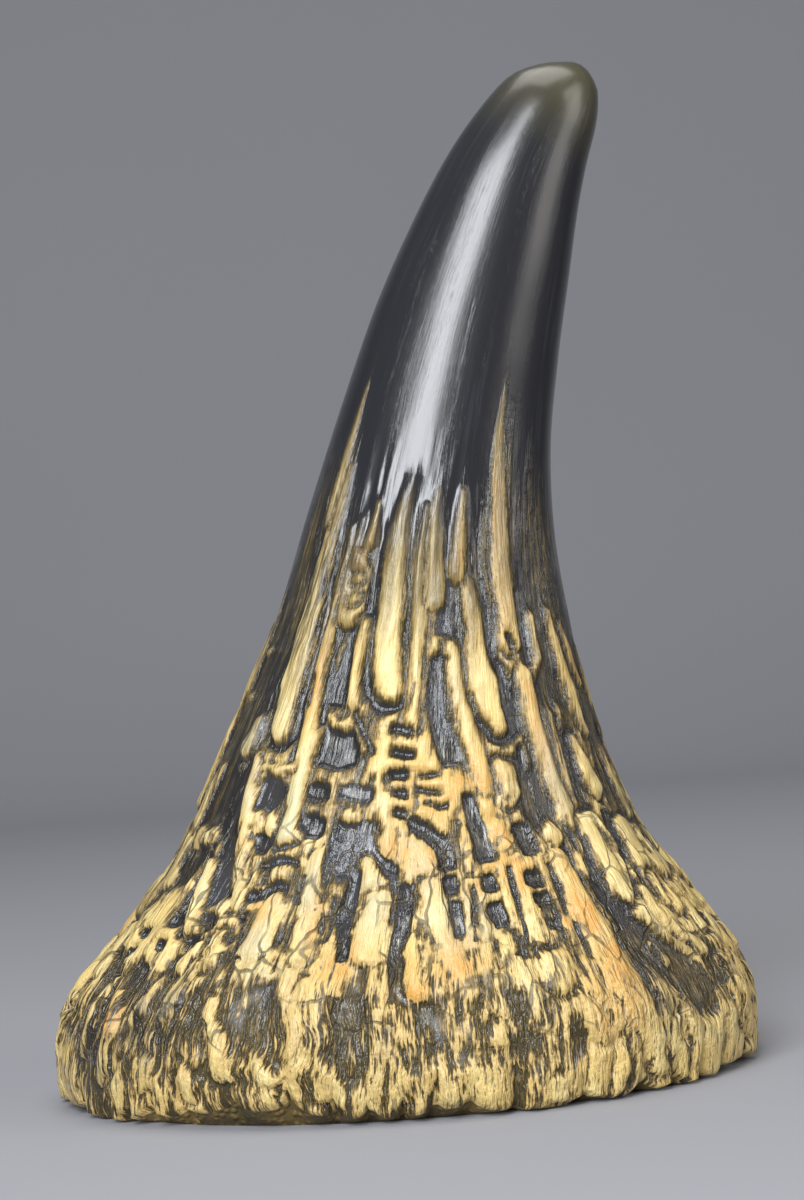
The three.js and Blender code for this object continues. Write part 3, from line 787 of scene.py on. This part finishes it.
def flankRows():
    # places along the sections of the rows of vertices, evenly spaced along the surface
    table = np.linspace(0, len(sections) - 1, 4000)
    line = smoothSurface(table, np.zeros(len(table)))
    travelled = np.concatenate([[0], np.cumsum(np.linalg.norm(np.diff(line, axis=0), axis=1))])
    top = np.interp(horn["fineTop"], line[:, 2], travelled)
    fine = np.arange(horn["fineStep"] * 1.4, top, horn["fineStep"])
    coarse = np.linspace(top, travelled[-1], int((travelled[-1] - top) / horn["coarseStep"]) + 1)[:-1]
    return np.interp(np.concatenate([fine, coarse]), travelled, table)


def reliefOn(field, spot):
    # millimetres outward: channels and domed pads with lengthwise ridges, and faint flutes on the tip
    angle, height = spot["angle"], spot["height"]
    flank = smoothStep(48, 76, offMiddle(angle))
    amount = 1 - smoothStep(horn["reliefFull"] - 24 * flank, horn["reliefGone"] - 34 * flank, height)
    amount *= 1 - 0.4 * flank * smoothStep(36, 56, height)
    depth = np.where(field < 0, horn["channelDepth"], horn["padHeight"])
    relief = depth * np.tanh(field / horn["reliefEdge"])
    relief += 0.4 * (1 - np.exp(-np.maximum(field, 0) / 1.8))
    ridges = layered("ridges", angle, height)
    frayed = smoothStep(40, 18, height)
    relief += (0.16 + 0.3 * frayed) * ridges + layered("knobs", angle, height)
    relief += layered("grit", angle, height) * smoothStep(0, 1, field)
    flutes = layered("tipFlutes", angle, height * 0 + 10) * smoothStep(205, 150, height)
    return amount * relief + (1 - amount) * flutes


def ellipse(radians, length, width, z):
    return np.stack([length * np.sin(radians), -width * np.cos(radians), z], axis=-1)


def underside(degrees, lift, bulge):
    # rows of points from the middle outward: the dish, the flat band and the rounded lip
    radians = np.radians(degrees)
    length, width = sections[0][3:]
    inner, outer = horn["restingInner"], horn["restingOuter"]
    dishShares = np.linspace(0, inner, horn["dishRows"])[1:]
    bandShares = np.linspace(inner, outer, horn["bandRows"])[1:]
    rows = []
    for share in [*dishShares, *bandShares]:
        fall = horn["dishDepth"] * max(0, 1 - (share / inner) ** 2)
        rough = layered("dish", degrees, degrees * 0 + share * 60) if fall > 0.5 else 0 * degrees
        rows.append(ellipse(radians, length * share, width * share, fall + rough))
    for share, rise, lifted in horn["lip"]:
        rows.append(ellipse(radians, (length + bulge) * share, (width + bulge) * share, rise + lift * lifted))
    return np.array(rows)


def hornGrid():
    # the points in rows from the middle of the foot to the tip, and the values that the material reads there
    columns = horn["columns"]
    degrees = np.arange(columns) * 360 / columns
    place, angle = np.meshgrid(flankRows(), np.radians(degrees), indexing="ij")
    outside = smoothSurface(place, angle)
    height = sectionAt(place)[..., 1]
    normal = gridNormals(outside)
    around = np.linalg.norm(np.roll(outside, -1, axis=1) - outside, axis=-1) * columns / 360
    climb = np.linalg.norm(np.gradient(outside, axis=0), axis=-1)
    slope = climb / np.maximum(np.gradient(height, axis=0), 1e-6)
    spot = {
        "angle": np.degrees(angle), "height": height, "perDegree": np.maximum(around, 0.02),
        "slope": np.clip(slope, 1, 4),
    }
    field = np.clip(raisedField(spot), *horn["fieldLimits"])
    print("relief worked out")
    outside += normal * reliefOn(field, spot)[..., None]

    # the rim: lifted here and there, with small lumps
    atFoot = np.full(columns, 5.0)
    lift = roundTable(rimLift, degrees) + layered("rimLift", degrees, atFoot)
    lift = np.clip(1.15 * lift + horn["rimCreases"] * (0.75 - rimLumps(degrees)), 0, None)
    bulge = horn["rimBulge"] * (rimLumps(degrees) - 0.65) + layered("rimBulge", degrees, atFoot)
    low = 1 - smoothStep(0, horn["rimHeight"], height)
    outside += normal * [1, 1, 0] * (low * bulge)[..., None]
    outside[..., 2] += low * lift
    under = underside(degrees, lift, bulge)

    values = {"field": field, "height": height}
    for name, patches in tints.items():
        values[name] = tintField(patches, spot)
    border = roundTable(tipBorder, spot["angle"]) + layered("tipBorder", spot["angle"], height * 0)
    values["black"] = height - border
    for name, rows in values.items():
        values[name] = np.concatenate([np.repeat(rows[:1], len(under), axis=0), rows])
    values["under"] = np.concatenate([np.ones(under.shape[:2]), np.zeros(height.shape)])
    values["angle"] = np.tile(degrees, (len(under) + len(outside), 1))
    return np.concatenate([under, outside]), values


def makeHorn():
    grid, full = hornGrid()
    rowCount, columns = grid.shape[:2]

    # a plain turned shape with one vertex for each row and column, which then goes to its place
    bm = bmesh.new()
    profile = [bm.verts.new((0, 0, 0))]
    profile += [bm.verts.new((1, 0, row + 1)) for row in range(rowCount)]
    profile.append(bm.verts.new((0, 0, rowCount + 1)))
    edges = [bm.edges.new(pair) for pair in zip(profile, profile[1:])]
    bmesh.ops.spin(
        bm, geom=profile + edges, cent=(0, 0, 0), axis=(0, 0, 1), angle=math.tau, steps=columns,
        use_merge=True, use_duplicate=False,
    )
    bmesh.ops.remove_doubles(bm, verts=bm.verts, dist=1e-4)
    bmesh.ops.recalc_face_normals(bm, faces=bm.faces)
    mesh = bpy.data.meshes.new("hornSurface")
    bm.to_mesh(mesh)
    bm.free()

    turned = np.zeros(len(mesh.vertices) * 3)
    mesh.vertices.foreach_get("co", turned)
    turned = turned.reshape(-1, 3)
    row = np.clip(np.round(turned[:, 2]).astype(int) - 1, 0, rowCount - 1)
    spun = np.degrees(np.arctan2(turned[:, 1], turned[:, 0])) + 90
    column = np.round(spun / 360 * columns).astype(int) % columns
    placed = grid[row, column]
    placed[turned[:, 2] < 0.5] = (0, 0, horn["dishDepth"])
    placed[turned[:, 2] > rowCount + 0.5] = smoothSurface(np.array([len(sections) - 1.0]), np.zeros(1))[0]
    middle = (placed[:, :2].min(axis=0) + placed[:, :2].max(axis=0)) / 2
    placed[:, :2] -= middle
    mesh.vertices.foreach_set("co", (placed / 1000).ravel())
    triangles = sum(len(face.vertices) - 2 for face in mesh.polygons)
    print("horn: %d triangles, moved by %.2f, %.2f mm" % (triangles, *-middle))

    for name in ("field", "orange", "grey", "olive", "black", "under"):
        values = mesh.attributes.new(name, "FLOAT", "POINT")
        values.data.foreach_set("value", full[name][row, column].astype(np.float32))
    turn = np.radians(full["angle"][row, column])
    grain = np.stack([50 * np.cos(turn), 50 * np.sin(turn), full["height"][row, column]], axis=-1)
    values = mesh.attributes.new("grain", "FLOAT_VECTOR", "POINT")
    values.data.foreach_set("vector", grain.astype(np.float32).ravel())
    mesh.shade_smooth()
    mesh.update()
    piece = bpy.data.objects.new("hornSurface", mesh)
    scene.collection.objects.link(piece)
    return piece


hornSurface = makeHorn()
print("horn shaped")


# Fibres: noise drawn out along the horn. Grain is (50 cos, 50 sin, height) in millimetres.
fibreNoises = {"Fine": (1.25, 3, 0.6), "Coarse": (0.34, 3, 0.55), "Hair": (2.7, 2, 0.6)}


def makeFibreGroup():
    group = bpy.data.node_groups.new("keratinFibres", "ShaderNodeTree")
    group.interface.new_socket("Grain", in_out="INPUT", socket_type="NodeSocketVector")
    group.interface.new_socket("Stretch", in_out="INPUT", socket_type="NodeSocketFloat")
    for name in fibreNoises:
        group.interface.new_socket(name, in_out="OUTPUT", socket_type="NodeSocketFloat")
    start = addNode(group, "NodeGroupInput")
    end = addNode(group, "NodeGroupOutput")
    split = nodeFor({0: start.outputs["Grain"]}, "ShaderNodeSeparateXYZ")
    waver = noise(start.outputs["Grain"], 0.07)
    shift = product(maths("SUBTRACT", waver, 0.5), 3.0)
    drawn = nodeFor({
        0: maths("ADD", split.outputs[0], shift),
        1: maths("ADD", split.outputs[1], shift),
        2: product(split.outputs[2], start.outputs["Stretch"]),
    }, "ShaderNodeCombineXYZ")
    for name, setting in fibreNoises.items():
        join(noise(drawn.outputs[0], *setting), end.inputs[name])
    return group


fibreGroup = makeFibreGroup()

# Colours of the horn, linear
hornColours = {
    "deep": (0.016, 0.016, 0.018),
    "slate": (0.046, 0.048, 0.056),
    "pitFloor": (0.040, 0.037, 0.034),
    "bark": (0.058, 0.045, 0.021),
    "olive": (0.068, 0.052, 0.018),
    "ochre": (0.25, 0.160, 0.046),
    "tan": (0.53, 0.365, 0.125),
    "cream": (0.75, 0.56, 0.200),
    "paleCream": (0.79, 0.645, 0.290),
    "orange": (0.66, 0.34, 0.070),
    "greyCream": (0.52, 0.48, 0.31),
    "smoked": (0.155, 0.115, 0.045),
    "tip": (0.015, 0.015, 0.018),
    "tipOlive": (0.075, 0.068, 0.034),
}


def shade(name):
    return (*hornColours[name], 1)


def tinted(colour, share, name, blend="MIX"):
    return mixed(share, colour, shade(name), blend)


def makeLook(tree):
    # the values that the colours, the gloss and the fine relief are worked out from
    grain = attribute(tree, "grain", "Vector")
    height = nodeFor({0: grain}, "ShaderNodeSeparateXYZ").outputs[2]
    look = SimpleNamespace(grain=grain, height=height)
    for name in ("field", "orange", "grey", "olive", "black"):
        setattr(look, name, attribute(tree, name))
    fibres = nodeFor({"Grain": grain, "Stretch": 0.095}, "ShaderNodeGroup", node_tree=fibreGroup)
    look.fine, look.coarse, look.thin = fibres.outputs
    place = objectPlace(tree)
    look.mottled = noise(place, 260, 3, 0.6)
    look.broad = noise(place, 70, 3, 0.55)
    look.gritty = noise(place, 760, 2, 0.6)
    look.patches = noise(place, 125)
    look.frayed = ranged(swayed(look.height, look.coarse, 26.0), 37, 20)
    look.pale = paleShare(look)
    look.cracks = crazing(look)

    # the tip turns black along streaks
    look.streaked = swayed(swayed(look.black, look.coarse, 34.0), look.fine, 14.0)
    look.tip = ranged(look.streaked, -13, 8)
    return look


def paleShare(look):
    # 0 on dark and 1 on pale; the edge between them frays along the fibres, most of all on the flare
    fray = maths("MULTIPLY_ADD", look.frayed, 6.2, 1.8)
    edge = swayed(look.field, look.fine, fray)
    edge = swayed(edge, look.mottled, 1.0)
    edge = swayed(edge, look.thin, product(fray, 0.7))
    edge = swayed(edge, look.coarse, 1.6)
    edge = swayed(edge, look.gritty, 1.0)

    # low down, some of the gaps between the pads are filled with brown
    filled = product(ranged(look.patches, 0.52, 0.66), ranged(look.height, 80, 62, 0, 0.9))
    edge = maths("MULTIPLY_ADD", filled, ranged(look.field, -0.3, -1.5, 1.0, 0.2), edge)

    # fringes are wide round the tongues and narrow round the pads below them
    narrow = maths("MULTIPLY_ADD", look.frayed, -0.18, ranged(look.height, 78, 50, 0.25, 0.36))
    return maths("MULTIPLY_ADD", edge, narrow, 0.5, clamp=True)


def crazing(look):
    # thin broken cracks between long cells, on the pads
    wobble = nodeFor({"Vector": look.grain, "Scale": 0.12}, "ShaderNodeTexNoise").outputs["Color"]
    squashed = nodeFor({0: look.grain, 1: (1, 1, 0.42)}, "ShaderNodeVectorMath", operation="MULTIPLY")
    bent = {0: wobble, 1: (4, 4, 5), 2: squashed.outputs[0]}
    bent = nodeFor(bent, "ShaderNodeVectorMath", operation="MULTIPLY_ADD").outputs[0]
    cells = nodeFor({"Vector": bent, "Scale": 0.24}, "ShaderNodeTexVoronoi", feature="DISTANCE_TO_EDGE")
    crack = ranged(cells.outputs["Distance"], 0.06, 0.012)
    crack = product(crack, ranged(look.broad, 0.4, 0.54))
    crack = product(crack, ranged(look.height, 72, 52))
    return product(crack, ranged(look.height, 10, 22))


def darkParts(look):
    greyed = maths("ADD", look.coarse, look.grey)
    colour = mixed(ranged(greyed, 0.6, 1.2, 0, 0.75), shade("deep"), shade("slate"))
    floored = product(ranged(look.field, -1.3, -2.1), ranged(look.mottled, 0.4, 0.6, 0.2, 0.8))
    colour = tinted(colour, floored, "pitFloor")
    colour = tinted(colour, ranged(look.fine, 0.55, 0.68, 0, 0.5), "pitFloor")
    # pale grey-cream streaks in the dark parts are painted glints: highlights painted into the colour
    paintedGlint = product(ranged(look.thin, 0.58, 0.7, 0, 0.6), ranged(look.patches, 0.5, 0.62))
    colour = tinted(colour, paintedGlint, "greyCream")
    bark = product(look.frayed, ranged(look.coarse, 0.42, 0.62, 1.0, 0.35))
    colour = tinted(colour, bark, "bark")
    hairs = product(look.frayed, ranged(look.thin, 0.5, 0.62, 0, 0.65))
    return tinted(colour, hairs, "ochre")


def paleParts(look):
    colour = mixed(ranged(look.broad, 0.4, 0.62), shade("cream"), shade("paleCream"))
    tanned = product(ranged(look.coarse, 0.46, 0.64), ranged(look.mottled, 0.35, 0.6, 0.3, 0.9))
    colour = tinted(colour, tanned, "tan")
    weathered = product(look.frayed, ranged(look.thin, 0.4, 0.6, 0.1, 0.6))
    colour = tinted(colour, weathered, "tan")
    orange = product(look.orange, ranged(look.patches, 0.35, 0.6, 0.5, 1.2), clamp=True)
    colour = tinted(colour, orange, "orange")
    return tinted(colour, product(look.grey, 0.65), "greyCream")


def bodyColour(look):
    # dark and pale parts with a brown edge between them
    middle = ramp(look.pale, [
        (0.0, shade("olive")),
        (0.43, shade("olive")),
        (0.54, shade("ochre")),
        (0.66, shade("tan")),
    ])
    colour = mixed(ranged(look.pale, 0.28, 0.42), darkParts(look), middle)
    colour = mixed(ranged(look.pale, 0.54, 0.86), colour, paleParts(look))

    # thin brown hairlines along the fibres, denser on the flare, and the cracks
    both = maths("MULTIPLY_ADD", look.thin, 0.55, product(look.fine, 0.45))
    hair = maths("MULTIPLY_ADD", look.frayed, 0.05, 0.42)
    hair = product(ranged(hair, both, maths("ADD", both, 0.05)), ranged(look.height, 44, 20, 0.34, 0.66))
    colour = tinted(colour, hair, "olive")
    colour = tinted(colour, product(look.cracks, 0.75), "bark")

    # the pale parts are duller towards the tip
    dulled = product(ranged(look.height, 84, 124, 0, 0.6), ranged(look.coarse, 0.35, 0.6, 0.4, 1))
    colour = tinted(colour, product(dulled, ranged(look.pale, 0.5, 0.8)), "ochre")

    # brown streaks over the flanks and the waist, with black ones between them
    waist = product(ranged(look.height, 92, 122, 0, 0.55), ranged(look.coarse, 0.4, 0.62, 0.1, 1))
    aged = product(maths("MAXIMUM", look.olive, waist), ranged(look.fine, 0.44, 0.6, 0.95, 0.3))
    brown = mixed(ranged(look.thin, 0.48, 0.66), shade("olive"), shade("ochre"))
    brown = tinted(brown, ranged(look.coarse, 0.6, 0.48, 0, 0.9), "deep")
    return mixed(aged, colour, brown)


def withTip(look, colour):
    # smoked above the tongues, then black, and a little green-brown at the very end
    smoked = product(ranged(look.streaked, -34, -3, 0, 0.9), ranged(look.thin, 0.38, 0.62, 1, 0.6))
    colour = tinted(colour, smoked, "smoked", "DARKEN")
    tip = mixed(ranged(look.coarse, 0.5, 0.75, 0, 0.35), shade("tip"), shade("slate"))
    tip = tinted(tip, ranged(look.height, 205, 226, 0, 0.8), "tipOlive")
    return mixed(look.tip, colour, tip)


def addGloss(shader, look):
    # lacquered dark channels, satin pads, a polished tip
    satin = swayed(ranged(look.pale, 0.35, 0.6, 0.14, 0.40), look.mottled, 0.18)
    satin = maths("ADD", satin, ranged(look.height, 92, 130, 0, -0.1))
    polished = swayed(0.23, look.fine, 0.06)
    join(mixedValue(look.tip, satin, polished), shader.inputs["Roughness"])

    # the lacquer is thick on the tip, patchy in the channels and thin on the pads
    patchy = ranged(look.patches, 0.5, 0.64, 0.02, 0.45)
    lacquer = mixedValue(ranged(look.pale, 0.35, 0.6), patchy, 0.18)
    join(mixedValue(look.tip, lacquer, 0.45), shader.inputs["Coat Weight"])
    shader.inputs["Coat Roughness"].default_value = 0.2
    shader.inputs["IOR"].default_value = 1.54


def fineRelief(look):
    # fibres, pores and small cracks, calm on the tip
    ripple = maths("MULTIPLY_ADD", look.fine, 1.5, product(look.mottled, 0.45))
    ripple = maths("MULTIPLY_ADD", look.pale, 0.3, ripple)
    ripple = maths("MULTIPLY_ADD", look.cracks, -0.8, ripple)
    ripple = maths("MULTIPLY_ADD", look.gritty, 0.5, ripple)
    strength = product(ranged(look.height, 64, 24, 0.55, 1.45), ranged(look.pale, 0.25, 0.6, 0.6, 1))
    calm = maths("SUBTRACT", 1.0, product(look.tip, 0.9))
    return product(product(ripple, strength), calm)


def hornMaterial():
    material, tree, shader = newMaterial("polishedKeratin")
    look = makeLook(tree)
    join(withTip(look, bodyColour(look)), shader.inputs["Base Color"])
    addGloss(shader, look)
    addBump(shader, fineRelief(look), 0.8)
    return material


def cutMaterial():
    # the cut foot: packed fibre ends, brown and dull
    material, tree, shader = newMaterial("cutKeratin")
    place = objectPlace(tree)
    cells = nodeFor({"Vector": place, "Scale": 620}, "ShaderNodeTexVoronoi")
    broad = noise(place, 45, 4, 0.6)
    dots = ranged(cells.outputs["Distance"], 0.15, 0.6)
    colour = ramp(broad, [
        (0.35, shade("olive")),
        (0.5, shade("ochre")),
        (0.66, shade("tan")),
    ])
    join(tinted(colour, product(dots, 0.6), "olive"), shader.inputs["Base Color"])
    join(ranged(broad, 0.3, 0.7, 0.55, 0.75), shader.inputs["Roughness"])
    addBump(shader, maths("ADD", product(dots, -0.8), broad), 0.7)
    return material


def paintUnderside(mesh):
    # faces with all their corners underneath get the second material
    under = np.zeros(len(mesh.vertices), dtype=np.float32)
    mesh.attributes["under"].data.foreach_get("value", under)
    corners = np.zeros(len(mesh.loops), dtype=np.int32)
    mesh.loops.foreach_get("vertex_index", corners)
    starts = np.zeros(len(mesh.polygons), dtype=np.int32)
    mesh.polygons.foreach_get("loop_start", starts)
    cut = np.minimum.reduceat(under[corners], starts) > 0.5
    mesh.polygons.foreach_set("material_index", cut.astype(np.int32))


hornSurface.data.materials.append(hornMaterial())
hornSurface.data.materials.append(cutMaterial())
paintUnderside(hornSurface.data)
print("materials made")

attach(hornSurface, "root")
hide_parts("horn")
